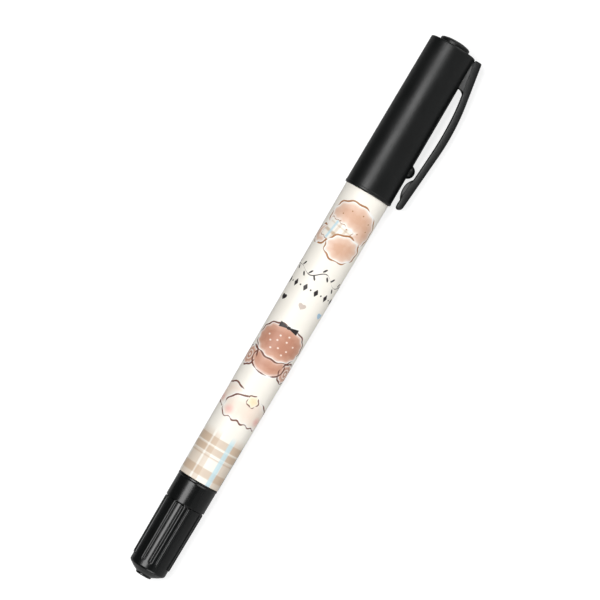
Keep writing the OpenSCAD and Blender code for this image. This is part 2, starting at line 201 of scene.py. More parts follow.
def linear(code, alpha=1.0):
    """Linear RGBA of an sRGB hex colour: value/12.92 up to 0.04045, else
    ((value+0.055)/1.055)^2.4."""
    values = [int(code[i:i + 2], 16) / 255 for i in (1, 3, 5)]
    return (*(v / 12.92 if v <= 0.04045 else ((v + 0.055) / 1.055) ** 2.4 for v in values), alpha)


def add(tree, kind, settings=None, **links):
    """Adds a node, sets its properties or input values, and links inputs to other nodes' outputs.
    An input is named with _ for a space, or by its number as in1."""
    node = tree.nodes.new("ShaderNode" + kind)
    for key, value in (settings or {}).items():
        if isinstance(key, int) or key in node.inputs:
            node.inputs[key].default_value = value
        else:
            setattr(node, key, value)
    for key, output in links.items():
        socket = int(key[2:]) if key[:2] == "in" and key[2:].isdigit() else key.replace("_", " ")
        tree.links.new(output, node.inputs[socket])
    return node


def finish_of(name, **settings):
    """A new material with its Principled shader's own sockets set. Returns it with its node tree,
    its shader and the object's coordinates."""
    material = bpy.data.materials.new(name)
    material.use_nodes = True
    tree = material.node_tree
    shader = tree.nodes["Principled BSDF"]
    for key, value in settings.items():
        shader.inputs[key.replace("_", " ")].default_value = value
    place = tree.nodes.new("ShaderNodeTexCoord").outputs["Object"]
    return material, tree, shader, place


print("mid grey #808080 is", round(linear("#808080")[0], 3), "in linear light")

# %% [markdown]
# The camera looks square onto the plane of the clip, from the far side of a long lens, with the pen
# standing steeply across the frame. Its distance sets how much the rims seem to bulge.

# %% Camera
PEN_TILT = math.radians(30.48)     # the pen leans this far from upright in the frame
FRAME_MM = 133.76                  # width of the frame at the pen's axis
CAMERA_FAR = 735.0                 # distance of the camera from the axis, in mm
AIM_STATION, AIM_CLIPWARD = 70.65, -0.944    # the point at the middle of the frame

right = ALONG * math.sin(PEN_TILT) + CLIPWARD * math.cos(PEN_TILT)
up = ALONG * math.cos(PEN_TILT) - CLIPWARD * math.sin(PEN_TILT)
aim = ALONG * AIM_STATION + CLIPWARD * AIM_CLIPWARD
camera = bpy.data.objects.new("camera", bpy.data.cameras.new("camera"))
bpy.context.scene.collection.objects.link(camera)
camera.matrix_world = Matrix.Translation(Vector((aim + FACING * CAMERA_FAR) * MM)) @ Matrix(
    np.array((right, up, FACING)).T.tolist()).to_4x4()
camera.data.angle = 2 * math.atan(FRAME_MM / 2 / CAMERA_FAR)
camera.data.clip_start, camera.data.clip_end = 0.01, 20    # metres
bpy.context.scene.camera = camera
print("camera at", [round(v, 3) for v in camera.location], "lens", round(camera.data.lens, 1))

# %% [markdown]
# The desk touches both rims, so it leans a little where the rims differ in size. It is a pale matt
# board. A glow that only camera rays see makes it read as white without putting more light on the
# pen, and it keeps the pen's soft shadow. Mirrored and see-through rays find a trace of it too.

# %% Desk
SMALL_RIM_R = radius("small_cap_shell", SMALL_RIM - 1, SMALL_RIM)
BIG_RIM_R = radius("cap_shell", BIG_RIM, BIG_RIM + 1)
desk_slope = (BIG_RIM_R - SMALL_RIM_R) / (BIG_RIM - SMALL_RIM)
DESK_HALF = 2500.0                 # half the desk's side
BOARD_FIBRE = 1.111                # real fibre is under 0.1 mm, and is drawn coarser to show
SEEN_GLOW, MIRRORED_GLOW = 0.8, 0.05

board = bpy.data.materials.new("matt white board")
board.use_nodes = True
tree = board.node_tree
shader = tree.nodes["Principled BSDF"]
shader.inputs["Roughness"].default_value = 0.9
shader.inputs["Specular IOR Level"].default_value = 0.0
place = tree.nodes.new("ShaderNodeTexCoord").outputs["Object"]
fibre = add(tree, "TexNoise", {"Scale": 1 / (BOARD_FIBRE * MM), "Detail": 3.0}, Vector=place)
tint = add(tree, "Mix", {"data_type": "RGBA", 6: linear("#A4A4A4"), 7: linear("#A0A0A0")},
           in0=fibre.outputs["Fac"])
tree.links.new(tint.outputs[2], shader.inputs["Base Color"])
rays = tree.nodes.new("ShaderNodeLightPath")
mirrored = add(tree, "Math", {"operation": "MAXIMUM"}, in0=rays.outputs["Is Glossy Ray"],
               in1=rays.outputs["Is Transmission Ray"])
mirrored = add(tree, "Math", {"operation": "MULTIPLY", 1: MIRRORED_GLOW}, in0=mirrored.outputs[0])
extra = add(tree, "Math", {"operation": "MULTIPLY_ADD", 1: SEEN_GLOW},
            in0=rays.outputs["Is Camera Ray"], in2=mirrored.outputs[0])
glow = add(tree, "Emission", {"Color": (1, 1, 1, 1)}, Strength=extra.outputs[0])
both = add(tree, "AddShader", None, in0=shader.outputs[0], in1=glow.outputs[0])
tree.links.new(both.outputs[0], tree.nodes["Material Output"].inputs["Surface"])

desk_mesh = bpy.data.meshes.new("desk")
desk_mesh.from_pydata([(x * MM, y * MM, -(SMALL_RIM_R + desk_slope * (x - SMALL_RIM)) * MM)
                       for x, y in ((-DESK_HALF, -DESK_HALF), (DESK_HALF, -DESK_HALF),
                                    (DESK_HALF, DESK_HALF), (-DESK_HALF, DESK_HALF))],
                      [], [(0, 1, 2, 3)])
desk_mesh.materials.append(board)
desk = bpy.data.objects.new("desk", desk_mesh)
bpy.context.scene.collection.objects.link(desk)
print("desk slope", round(desk_slope, 4))

# %% [markdown]
# One long softbox stands on the left of the pen and draws the single bright band down each cap. The
# far side needs light for the cream, but no second band on the black. A tube mirrors only what
# stands square to its axis, so two fills stand well off towards its ends, where they light the matt
# print and the black doesn't show them. A very weak box on the right leaves a trace of sheen. The
# room gives a dim even light, and is white where the camera looks straight at it.

# %% Lights
# name, turn from facing to clipward and lean to the big cap's end in degrees, distance, width and
# length in metres, radiance
LAMPS = [("left softbox", -25, 0, 0.9, 0.47, 0.7, 6.5), ("right sheen", 58, 0, 1.1, 1.2, 1.6, 0.2),
         ("upper fill", 40, 52, 1.6, 1.1, 1.1, 2.9), ("lower fill", 40, -52, 1.6, 1.1, 1.1, 2.9)]
ROOM_DIM, ROOM_SEEN = 0.1, 1.0


def softbox(name, turn, lean, distance, width, length, radiance):
    """Area light that faces the pen. Its power is its radiance x pi x its area."""
    lamp = bpy.data.lights.new(name, "AREA")
    lamp.shape, lamp.size, lamp.size_y = "RECTANGLE", width, length
    lamp.energy = radiance * math.pi * width * length
    rig = bpy.data.objects.new(name, lamp)
    bpy.context.scene.collection.objects.link(rig)
    turn, lean = math.radians(turn), math.radians(lean)
    square = FACING * math.cos(turn) + CLIPWARD * math.sin(turn)
    out = square * math.cos(lean) + ALONG * math.sin(lean)
    side = np.cross(ALONG, square)
    rig.matrix_world = Matrix.Translation(Vector(aim * MM + out * distance)) @ Matrix(
        np.array((side, np.cross(out, side), out)).T.tolist()).to_4x4()
    print(name, round(lamp.energy, 1), "W")


for lamp_row in LAMPS:
    softbox(*lamp_row)
world = bpy.data.worlds.new("dim studio")
world.use_nodes = True
room = world.node_tree
seen = room.nodes.new("ShaderNodeLightPath").outputs["Is Camera Ray"]
level = add(room, "MapRange", {"To Min": ROOM_DIM, "To Max": ROOM_SEEN}, Value=seen)
room.nodes["Background"].inputs["Color"].default_value = (1, 1, 1, 1)
room.links.new(level.outputs[0], room.nodes["Background"].inputs["Strength"])
bpy.context.scene.world = world

# %% [markdown]
# Both caps are injection-moulded black polypropylene. The big one came out of a lightly spark-textured
# mould, so it is satin: a fine even grain a tenth of a millimetre wide, which is drawn at a quarter of
# a millimetre so that it shows. Handling leaves it unevenly polished, in patches some millimetres
# wide, with hairline scuffs that run mostly along the pen.

# %% Black satin
PATCH, HAIR, HAIR_LONG = 7.0, 0.3, 0.12    # size of the patches and scuffs, the scuffs' stretch


def moulded(name, colours, gloss, grain, grain_deep, scuff, **settings):
    """Moulded plastic: colour and gloss shift between two values with a patchy noise, hairline
    scuffs dull it, and a grain of a given width is raised by grain_deep."""
    material, tree, shader, place = finish_of(name, **settings)
    patch = add(tree, "TexNoise", {"Scale": 1 / (PATCH * MM), "Detail": 4.0},
                Vector=place).outputs["Fac"]
    shade = add(tree, "Mix", {"data_type": "RGBA", 6: linear(colours[0]), 7: linear(colours[1])},
                in0=patch)
    tree.links.new(shade.outputs[2], shader.inputs["Base Color"])
    drawn = add(tree, "Mapping", {"Scale": (HAIR_LONG, 1.0, 1.0), "Rotation": (0.0, 0.0, 0.05)},
                Vector=place)
    hair = add(tree, "TexNoise", {"Scale": 1 / (HAIR * MM), "Detail": 2.0}, Vector=drawn.outputs[0])
    line = add(tree, "MapRange", {"From Min": 0.66, "From Max": 0.74}, Value=hair.outputs["Fac"])
    rough = add(tree, "MapRange", {"From Min": 0.3, "From Max": 0.7, "To Min": gloss[0],
                                   "To Max": gloss[1]}, Value=patch)
    rough = add(tree, "Math", {"operation": "MULTIPLY_ADD", 1: scuff, "use_clamp": True},
                in0=line.outputs[0], in2=rough.outputs[0])
    tree.links.new(rough.outputs[0], shader.inputs["Roughness"])
    bumps = add(tree, "TexNoise", {"Scale": 1 / (grain * MM), "Detail": 2.0}, Vector=place)
    raised = add(tree, "Bump", {"Strength": 0.6, "Distance": grain_deep * MM},
                 Height=bumps.outputs["Fac"])
    tree.links.new(raised.outputs["Normal"], shader.inputs["Normal"])
    print(name, "roughness", gloss, "grain", grain, "mm")
    return material


satin_black = moulded("black satin polypropylene", ("#050707", "#0A0C0C"), (0.36, 0.44),
                      0.25, 0.012, 0.12, Specular_IOR_Level=0.42)

# %% [markdown]
# The small cap's mould was polished, so it is glossy, with only a faint waviness where the plastic
# shrank as it cooled. The barrel is cream polypropylene, also from a polished mould, and lets a
# little light into itself. The print film over it is made further on, with its artwork.

# %% Black gloss and cream
gloss_black = moulded("black gloss polypropylene", ("#020404", "#050707"), (0.2, 0.27),
                      0.4, 0.01, 0.1, Specular_IOR_Level=0.5)
cream = moulded("cream polypropylene", ("#F4EEE2", "#F9F4EA"), (0.3, 0.4), 0.6, 0.006, 0.05,
                Subsurface_Weight=0.08, Subsurface_Scale=0.001)
print_film, film_tree, film_shader, film_place = finish_of("heat-transfer print film")

# %% [markdown]
# Inside there are four more plastics. The nib holders are natural polypropylene, milky, since light
# goes a little way into it. The inner caps are softer low-density polyethylene, waxy and duller. The
# extra-fine nib is extruded acetal, hard and smooth. The ink's fibre rod is wrapped in a thin film of
# drawn polypropylene, the glossiest of them. One recipe serves all, with its own values for each.

# %% Milky, waxy and hard plastics
milky = moulded("natural polypropylene", ("#E4E3DC", "#EFEEE8"), (0.28, 0.38), 0.5, 0.006, 0.1,
                Subsurface_Weight=0.25, Subsurface_Scale=0.002)
waxy = moulded("low-density polyethylene", ("#DCE0DE", "#E8EBE9"), (0.42, 0.55), 0.3, 0.01, 0.1,
               Subsurface_Weight=0.3, Subsurface_Scale=0.002)
hard = moulded("extruded acetal", ("#1B1C20", "#2A2B30"), (0.25, 0.35), 0.2, 0.006, 0.05)
clear_wrap = moulded("polypropylene wrap film", ("#D9DEDD", "#E6EAE9"), (0.12, 0.22), 1.5, 0.02, 0.2,
                     Specular_IOR_Level=0.6)

# %% [markdown]
# The bullet nib is felted polyester bound with resin, and the reservoir is a rod of the same fibre,
# looser. Fibres run along the pen, about 0.03 mm thick, and are drawn at 0.12 mm so that they show.
# Black ink has soaked both, so the felt is almost black, with bluish grey where fibres dry out.

# %% Inky felt and fibre
STRAND, STRAND_LONG, SOAKED = 0.12, 0.08, 3.0    # strand width and stretch, size of wet patches


def fibrous(name, wet, dry, deep):
    """Fibre along X: a noise stretched twelve times along it colours the surface, and raises it by
    deep. It shows dry where the strands and a patchy noise are both strong."""
    material, tree, shader, place = finish_of(name, Specular_IOR_Level=0.25)
    drawn = add(tree, "Mapping", {"Scale": (STRAND_LONG, 1.0, 1.0)}, Vector=place)
    strand = add(tree, "TexNoise", {"Scale": 1 / (STRAND * MM), "Detail": 4.0, "Distortion": 0.4},
                 Vector=drawn.outputs[0]).outputs["Fac"]
    soaked = add(tree, "TexNoise", {"Scale": 1 / (SOAKED * MM), "Detail": 2.0},
                 Vector=place).outputs["Fac"]
    both = add(tree, "Math", {"operation": "MULTIPLY"}, in0=strand, in1=soaked).outputs[0]
    dryness = add(tree, "MapRange", {"From Min": 0.15, "From Max": 0.42}, Value=both).outputs[0]
    shade = add(tree, "Mix", {"data_type": "RGBA", 6: linear(wet), 7: linear(dry)}, in0=dryness)
    tree.links.new(shade.outputs[2], shader.inputs["Base Color"])
    rough = add(tree, "MapRange", {"To Min": 0.7, "To Max": 0.95}, Value=strand).outputs[0]
    tree.links.new(rough, shader.inputs["Roughness"])
    bump = add(tree, "Bump", {"Strength": 0.8, "Distance": deep * MM}, Height=strand)
    tree.links.new(bump.outputs["Normal"], shader.inputs["Normal"])
    print(name, "strands drawn", STRAND, "mm wide")
    return material


inky_felt = fibrous("ink-soaked polyester felt", "#08080B", "#26272E", 0.05)
fibre_rod = fibrous("ink-soaked fibre rod", "#0D0D12", "#5A5C66", 0.1)
for node, finish in (("ink_reservoir", fibre_rod), ("reservoir_wrap", clear_wrap),
                     ("cap_inner_seal", waxy), ("small_cap_inner_seal", waxy)):
    for slot in frame["nodes"][node].material_slots:
        slot.material = finish

# %% [markdown]
# The big cap is one moulding: a slightly tapered tube with a rolled rim, a flat top that holds the
# crown disc, and a round bump under the clip that grips a pocket's edge. The bump could be a ball
# joined by a boolean, but that leaves a hard crease. Here it is a height on the tube's own skin: a
# ray from the axis meets the ball at a radius, and a soft maximum of that and the wall leaves a
# small fillet.

# %% Big cap
CLIP_TURN = math.pi / 2            # the clip's place round the pen, counted from facing


def soft_max(a, b, k):
    """The larger of a and b, with max(k - |a - b|, 0)^2 / 4k added, which rounds the join over k."""
    return np.maximum(a, b) + np.maximum(k - np.abs(a - b), 0) ** 2 / (4 * k)


def ball_radius(x, angle, station, centre_r, ball_r):
    """Distance from the pen's axis at which a ray meets a ball that sits on the clip's side:
    c cos t + sqrt(R^2 - dx^2 - (c sin t)^2), its sign kept where the ray passes outside."""
    t = angle - CLIP_TURN
    inside = ball_r ** 2 - (x - station) ** 2 - (centre_r * np.sin(t)) ** 2
    meets = centre_r * np.cos(t) + np.sign(inside) * np.sqrt(np.abs(inside))
    return np.where(np.cos(t) > 0, meets, 0)


def dense(start, stop, focus, reach, fine, coarse):
    """Stations from start to stop, fine within reach of a focus and coarse elsewhere."""
    spots = np.arange(start, stop, fine)
    near = np.abs(spots - focus) < reach
    keep = near | (np.arange(len(spots)) % max(1, round(coarse / fine)) == 0)
    return np.append(spots[keep], stop)


x_cap, r_cap, _ = corners("cap_shell")
bump = (x_cap > BIG_RIM + 6) & (x_cap < BIG_RIM + 12) & (r_cap > 6)    # all that stands out there
BUMP_X = float((x_cap[bump].min() + x_cap[bump].max()) / 2)
BUMP_TOP = float(r_cap[bump].max())
BUMP_R, BUMP_FILLET = 1.65, 0.22
MOUTH_R = radius("cap_shell", BIG_RIM + 0.7, BIG_RIM + 0.7)
TOP_R = radius("cap_shell", SHOULDER - 0.3, SHOULDER - 0.3)
BORE_R = radius("cap_shell", BIG_RIM + 0.4, BIG_RIM + 0.4, np.min)
BORE_TOP_R = BORE_R - (MOUTH_R - TOP_R)
TOP_T = 1.2                        # thickness of the cap's flat top
TOP_HOLE_R = radius("crown_plug", SHOULDER - TOP_T, SHOULDER, np.min)
print("bump at", round(BUMP_X, 2), "top", round(BUMP_TOP, 2),
      "cap radius", round(MOUTH_R, 2), "to", round(TOP_R, 2))


def cap_wall_r(x):
    """Outer radius of the big cap's tube, which tapers evenly from mouth to shoulder."""
    return MOUTH_R + (TOP_R - MOUTH_R) * (x - BIG_RIM) / (SHOULDER - BIG_RIM)


rim = rounded([(BIG_RIM, BORE_R + 0.2), (BIG_RIM, BIG_RIM_R, 0.28),
               (BIG_RIM + 0.62, BIG_RIM_R, 0.12), (BIG_RIM + 0.72, cap_wall_r(BIG_RIM + 0.72), 0.03),
               (BIG_RIM + 2, cap_wall_r(BIG_RIM + 2))], closed=False)
wall_x = dense(BIG_RIM + 2.2, SHOULDER - 1, BUMP_X, 2.1, 0.07, 2.0)
wall = np.stack((wall_x, cap_wall_r(wall_x)), -1)
inner = rounded([(SHOULDER - 0.9, cap_wall_r(SHOULDER - 0.9)), (SHOULDER, TOP_R, 0.32),
                 (SHOULDER, TOP_HOLE_R, 0.1), (SHOULDER - TOP_T, TOP_HOLE_R, 0.05),
                 (SHOULDER - TOP_T, BORE_TOP_R, 0.3), (BIG_RIM + 8.5, BORE_R, 0.05),
                 (BIG_RIM + 0.4, BORE_R, 0.05), (BIG_RIM, BORE_R + 0.2, 0.05)], closed=False)
profile = np.vstack((rim, wall, inner))
turn = np.concatenate((np.arange(-20, 20, 0.7), np.arange(20, 340, 2.5)))    # fine round the bump
turn = np.radians(turn) + CLIP_TURN
ring_x, ring_r = profile[:, 0, None], profile[:, 1, None]
on_wall = np.zeros(len(profile), bool)
on_wall[len(rim):len(rim) + len(wall)] = True
ball = ball_radius(ring_x, turn[None], BUMP_X, BUMP_TOP - BUMP_R, BUMP_R)
ring_r = np.where(on_wall[:, None], soft_max(ring_r, ball, BUMP_FILLET), ring_r)
big_cap = skin("big_cap_tube", around(ring_x, ring_r, turn[None]), satin_black)
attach(big_cap, "big_cap")
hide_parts("cap_shell")

# %% [markdown]
# The crown disc is pressed into the hole in the top, and its stem hides inside. Its face is slightly
# domed and rolls over at the rim. One lathe profile draws face, rim and stem together.

# %% Crown disc
CROWN_R = radius("crown_plug", SHOULDER, CROWN)
crown = turned("crown_disc", rounded([
    (CROWN, 0), (CROWN, CROWN_R - 1.6, 2.0), (CROWN - 0.28, CROWN_R - 0.45, 0.5),
    (CROWN - 0.55, CROWN_R, 0.3), (SHOULDER + 0.12, CROWN_R, 0.05),
    (SHOULDER + 0.12, TOP_HOLE_R + 0.3, 0.05), (SHOULDER, TOP_HOLE_R - 0.02, 0.05),
    (SHOULDER - 4, TOP_HOLE_R - 0.02, 0.3), (SHOULDER - 4, 0)],
    closed=False), satin_black, loop=False)
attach(crown, "big_cap")
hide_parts("crown_plug")

# %% [markdown]
# The clip is moulded on with the cap. Its section is a plate 3.6 mm wide, and under it a slightly
# narrower rib that is deep at the web, gone along the springy arm, and deep again at the foot. One
# skin of such sections, carried from the tip to the top, keeps the whole clip in one piece, as a
# moulding is.

# %% Clip outline
x_arm, _, c_arm = corners("clip_arm")
PIVOT_X = flex["pos_m"][0] / MM
TIP_X = float(x_arm.min())
CLIP_TOP = SHOULDER - 0.2
WEB_TOP, WEB_END = SHOULDER - 0.6, PIVOT_X + 1.2
WEB_START, WEB_RUN, WEB_ROUND = WEB_END - 0.35, 1.1, 0.12    # its quarter ellipse and rounded end
REACH = float(c_arm.max())
BEND_R, ROOT_SLOPE, TIP_SLOPE = 56.0, math.radians(9.5), math.radians(4.3)
BEND_X = PIVOT_X - 0.25 - BEND_R * math.sin(ROOT_SLOPE)
CLIP_W, CLIP_T = 3.6, 1.65         # the plate's width and thickness
RIB_W, WEB_W = 2.4, 3.26           # the rib's width where it is shallow and where it is deep
ARM_SWELL, SWELL_LONG = 0.2, 9.0   # the arm is this much thicker at its middle, over this length
INTO_WALL = 0.35                   # how far the web reaches into the cap's wall
FOOT_R, FOOT_X, FOOT_LONG = 3.6, BIG_RIM + 5.2, 1.25
FOOT_GAP = 0.45                    # clearance between the foot and the cap
FOOT_C = MOUTH_R + FOOT_GAP + FOOT_R


def outer_face(x):
    """Distance of the clip's outer face from the axis: a circle of radius BEND_R about BEND_X, and
    its tangents at the root's and the tip's slope beyond it."""
    middle = REACH - BEND_R
    arc = middle + np.sqrt(BEND_R ** 2 - np.clip(x - BEND_X, -20, 20) ** 2)
    root = middle + BEND_R / math.cos(ROOT_SLOPE) - (x - BEND_X) * math.tan(ROOT_SLOPE)
    tip = middle + BEND_R / math.cos(TIP_SLOPE) + (x - BEND_X) * math.tan(TIP_SLOPE)
    return np.where(x > BEND_X + BEND_R * math.sin(ROOT_SLOPE), root,
                    np.where(x < BEND_X - BEND_R * math.sin(TIP_SLOPE), tip, arc))


def round_in(x, edge, rho):
    """Inset of a surface near an edge, rho - sqrt(rho^2 - d^2) with d the way past rho from it."""
    past = np.clip(rho - np.abs(x - edge), 0, rho)
    return rho - np.sqrt(rho ** 2 - past ** 2)


def rib_bottom(x, under):
    """Where the rib under the plate ends: a round foot near the tip, drawn out FOOT_LONG times
    towards it, nothing along the arm, and a web that reaches into the cap's wall, its lower end a
    quarter ellipse."""
    off = np.where(x < FOOT_X, (FOOT_X - x) / FOOT_LONG, x - FOOT_X)
    foot = np.where(off < FOOT_R, FOOT_C - np.sqrt(np.maximum(FOOT_R ** 2 - off ** 2, 0)), under)
    into = cap_wall_r(x) - INTO_WALL
    share = np.clip((x - WEB_START) / WEB_RUN, 0, 1)
    web = into + (under - into) * np.sqrt(1 - share ** 2)
    end = np.clip((WEB_TOP + WEB_ROUND - x) / (2 * WEB_ROUND), 0, 1)
    web = under + (web - under) * np.sqrt(end * (2 - end))
    return np.where(x > WEB_START, web, np.minimum(foot, under))


print("clip from", round(TIP_X, 2), "to", round(CLIP_TOP, 2), "reach", round(REACH, 2))


# %% [markdown]
# The section changes all along the clip, so its rings are computed for every station at once. Its
# edges are rounded, since a mould's are, and the rings lie closer where the rib starts and ends.

# %% Clip skin
TIP_ROUND, NOSE_ROUND, TOP_ROUND, TIP_THIN = 0.55, 1.0, 0.3, 0.2
PLATE_EDGE, RIB_EDGE, DEEP_EDGE = 0.42, 0.3, 0.04    # roundings, the last where the rib is deep


def clip_sections(x):
    """Rings of the clip. Half a section runs over the plate's outer face, round its two corners,
    along its underside, down the rib's side and to the rib's middle; the other half mirrors it."""
    inset = round_in(x, TIP_X, TIP_ROUND) + round_in(x, CLIP_TOP, TOP_ROUND)
    half = CLIP_W / 2 - inset
    outer = outer_face(x) - np.maximum(round_in(x, TIP_X, NOSE_ROUND), inset)
    swell = ARM_SWELL * np.exp(-((x - BEND_X) / SWELL_LONG) ** 2)
    thin = TIP_THIN * np.clip(1 - np.abs(x - TIP_X) / 1.2, 0, 1)
    under = outer_face(x) - CLIP_T - swell + inset + thin
    bottom = rib_bottom(x, under)
    deep = under - bottom
    edge = np.minimum(PLATE_EDGE, (outer - under) / 2.2)
    soft = np.minimum(RIB_EDGE, deep / 2.2)
    share = np.clip(deep / 0.5, 0, 1)
    rib = (RIB_W + (WEB_W - RIB_W) * share) / 2 * np.minimum(1, half / (CLIP_W / 2))
    low = edge + (DEEP_EDGE - edge) * share
    quarter = np.radians(np.linspace(0, 90, 6))[:, None]
    zero = np.zeros_like(x)
    c = [outer, outer, outer]
    w = [zero, (half - edge) * 0.4, (half - edge) * 0.8]
    c += list(outer - edge + edge * np.cos(quarter))
    w += list(half - edge + edge * np.sin(quarter))
    c += list(under + low - low * np.sin(quarter))
    w += list(half - low + low * np.cos(quarter))
    c += [under, under - soft * 0.3, under - np.minimum(0.25, deep * 0.4)]
    w += [rib + 0.1, rib + 0.04, rib]
    c += list(bottom + soft - soft * np.sin(quarter))
    w += list(rib - 0.06 - RIB_EDGE + RIB_EDGE * np.cos(quarter))
    c += [bottom, bottom]
    w += [rib * 0.4, zero]
    c, w = np.array(c).T, np.array(w).T
    c = np.concatenate((c, c[:, -2:0:-1]), 1)
    w = np.concatenate((w, -w[:, -2:0:-1]), 1)
    return x[:, None, None] * ALONG + c[..., None] * CLIPWARD + w[..., None] * FACING


ramp = 1 - np.cos(np.linspace(0, np.pi / 2, 12))
stations = np.unique(np.concatenate((
    TIP_X + 1.0 - np.cos(np.linspace(0, np.pi / 2, 10)), np.arange(TIP_X + 1.0, TIP_X + 9, 0.12),
    np.arange(TIP_X + 9, WEB_END - 0.5, 0.45), WEB_START + WEB_RUN * ramp,
    np.arange(WEB_END + 0.9, WEB_TOP - 0.2, 0.5), np.linspace(WEB_TOP - 0.13, WEB_TOP + 0.12, 7),
    CLIP_TOP - 0.3 + 0.3 * np.sin(np.linspace(0, np.pi / 2, 7)))).round(5))
rings = clip_sections(stations)
tip, top = (np.broadcast_to(end.mean(1, keepdims=True), end.shape)
            for end in (rings[:1], rings[-1:]))    # each end closes in a point
clip = skin("clip", np.concatenate((tip, rings, top)), satin_black, loop=False)
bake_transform(clip)
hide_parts("clip_arm")

# %% [markdown]
# The small cap is glossier. It has a bead at its rim, a smooth collar, and below a small step a
# tapered grip with thin ribs in four groups of three. The ribs could be bars joined on by a boolean,
# but they are moulded as one with the wall. So each is a height on the cap's unrolled skin: that of
# a ball rolled along a line, which gives a round-backed bead with ball ends.

# %% Small cap
STEP_X = SMALL_RIM - 6.0
COLLAR_R = radius("small_cap_shell", STEP_X, STEP_X)
GRIP_TOP_R, GRIP_END_R, CORNER_X = COLLAR_R - 0.23, COLLAR_R - 0.38, 1.9
RIB_GROUPS, RIBS, RIB_PITCH, RIB_PHASE = 4, 3, math.radians(22), math.radians(-2)
RIB_R, RIB_H, RIB_START = 0.36, 0.21, 3.5    # the rolled ball, a rib's height, where ribs start
RIB_GAP = 0.15                     # the ribs stop this far short of the collar
FLANK_AWAY, FLANK_W, FLANK_DEEP = 0.43, 0.08, 0.05    # groove along both sides of each rib
STEP_W, STEP_DEEP = 0.22, 0.14     # groove round the cap under the collar


def grip_r(x):
    """Radius of the small cap's tapered grip at a station."""
    return GRIP_END_R + (GRIP_TOP_R - GRIP_END_R) * (x - CORNER_X) / (STEP_X - CORNER_X)


def rib_turns():
    """Angles of the rib lines round the cap: groups a quarter turn apart, ribs a pitch apart."""
    group = np.arange(RIB_GROUPS)[:, None] * 2 * np.pi / RIB_GROUPS
    within = (np.arange(RIBS) - (RIBS - 1) / 2)[None] * RIB_PITCH
    return np.sort((group + within + RIB_PHASE).ravel())


def rib_height(x, angle):
    """Height of the ribs above the wall: the ball's height at the distance from the nearest rib's
    line, which starts and ends RIB_R inside the rib's ends, less exp(-(d/w)^2) for the groove along
    each flank and for the one under the collar."""
    away = (angle[..., None] - rib_turns() + np.pi) % (2 * np.pi) - np.pi
    across = np.abs(away).min(-1) * grip_r(x)
    along = np.maximum(np.maximum(RIB_START + RIB_R - x, x - (STEP_X - RIB_GAP - RIB_R)), 0)
    inside = RIB_R ** 2 - across ** 2 - along ** 2
    ball = np.sign(inside) * np.sqrt(np.abs(inside)) - (RIB_R - RIB_H)
    flank = np.exp(-((np.hypot(across, along) - FLANK_AWAY) / FLANK_W) ** 2)
    step = np.exp(-((STEP_X - x) / STEP_W) ** 2)
    return soft_max(np.zeros_like(ball), ball, 0.06) - FLANK_DEEP * flank - STEP_DEEP * step


MOUTH = COLLAR_R - 0.75            # radius inside the rim
SEAT_X, FLOOR_X, PLUG_HOLE_R = 17.8, 2.6, 1.3    # where the bore narrows, its floor, the end's hole
foot_line = rounded([(0.4, 1.72), (0.42, 1.98, 0.04), (1.0, 3.1, 2.0), (CORNER_X, GRIP_END_R, 0.7),
                     (3.0, grip_r(3.0))], closed=False, steps=8)
grip_x = np.unique(np.concatenate((dense(3.05, STEP_X - 1.2, RIB_START + 0.2, 0.7, 0.06, 1.5),
                                   np.linspace(STEP_X - 1.2, STEP_X - 0.06, 20))))
collar = rounded([(STEP_X, GRIP_TOP_R, 0.05), (STEP_X, COLLAR_R, 0.07),
                  (SMALL_RIM - 0.78, COLLAR_R, 0.05), (SMALL_RIM - 0.70, COLLAR_R - 0.05, 0.04),
                  (SMALL_RIM - 0.62, COLLAR_R + 0.02, 0.05),
                  (SMALL_RIM - 0.45, COLLAR_R + 0.1, 0.15),
                  (SMALL_RIM, COLLAR_R + 0.08, 0.25), (SMALL_RIM, MOUTH + 0.2, 0.05),
                  (SMALL_RIM - 0.4, MOUTH, 0.05), (SEAT_X, MOUTH, 0.05),
                  (SEAT_X, GRIP_TOP_R - 0.82, 0.05), (FLOOR_X, GRIP_TOP_R - 0.97, 0.2),
                  (FLOOR_X, PLUG_HOLE_R, 0.05), (0.4, PLUG_HOLE_R, 0.03), (0.4, 1.72)], closed=False)
collar = collar[1:-1]              # the grip and the foot line have those two points already
profile = np.vstack((foot_line, np.stack((grip_x, grip_r(grip_x)), -1), collar))
on_grip = np.zeros(len(profile), bool)
on_grip[len(foot_line):len(foot_line) + len(grip_x)] = True
fine = [rib_turns() + math.radians(a) for a in np.arange(-8.0, 8.1, 0.5)]    # columns near a rib
plain = np.arange(-180, 180, 3) * np.pi / 180 + 0.013
turn = np.unique(np.concatenate([rib_turns(), *fine, plain]).round(6))
turn = turn[np.append(True, np.diff(turn) > 0.004)]
ring_x, ring_r = profile[:, 0, None], profile[:, 1, None]
height = rib_height(ring_x + 0 * turn, turn + 0 * ring_x)
small_cap = skin("small_cap", around(ring_x, ring_r + on_grip[:, None] * height, turn[None]),
                 gloss_black)
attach(small_cap, "small_cap")
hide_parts("small_cap_shell")

# %% [markdown]
# A small disc plugs the hole in the small cap's end. It stands a little proud with a rounded edge, so
# a fine ring shows round it. Like the crown disc, it is one lathe profile with its stem.

# %% End disc of the small cap
END_R = radius("small_cap_end_plug", 0, 0.5) + 0.2
STEM_R, STEM_END = radius("small_cap_end_plug", 3.7, 3.7), ends("small_cap_end_plug")[1]
end_disc = turned("small_cap_end_disc", rounded([
    (0.0, 0), (0.0, END_R, 0.22), (0.42, END_R, 0.03), (0.42, STEM_R, 0.03), (STEM_END, STEM_R, 0.2),
    (STEM_END, 0)], closed=False), gloss_black, columns=72, loop=False)
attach(end_disc, "small_cap")
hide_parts("small_cap_end_plug")

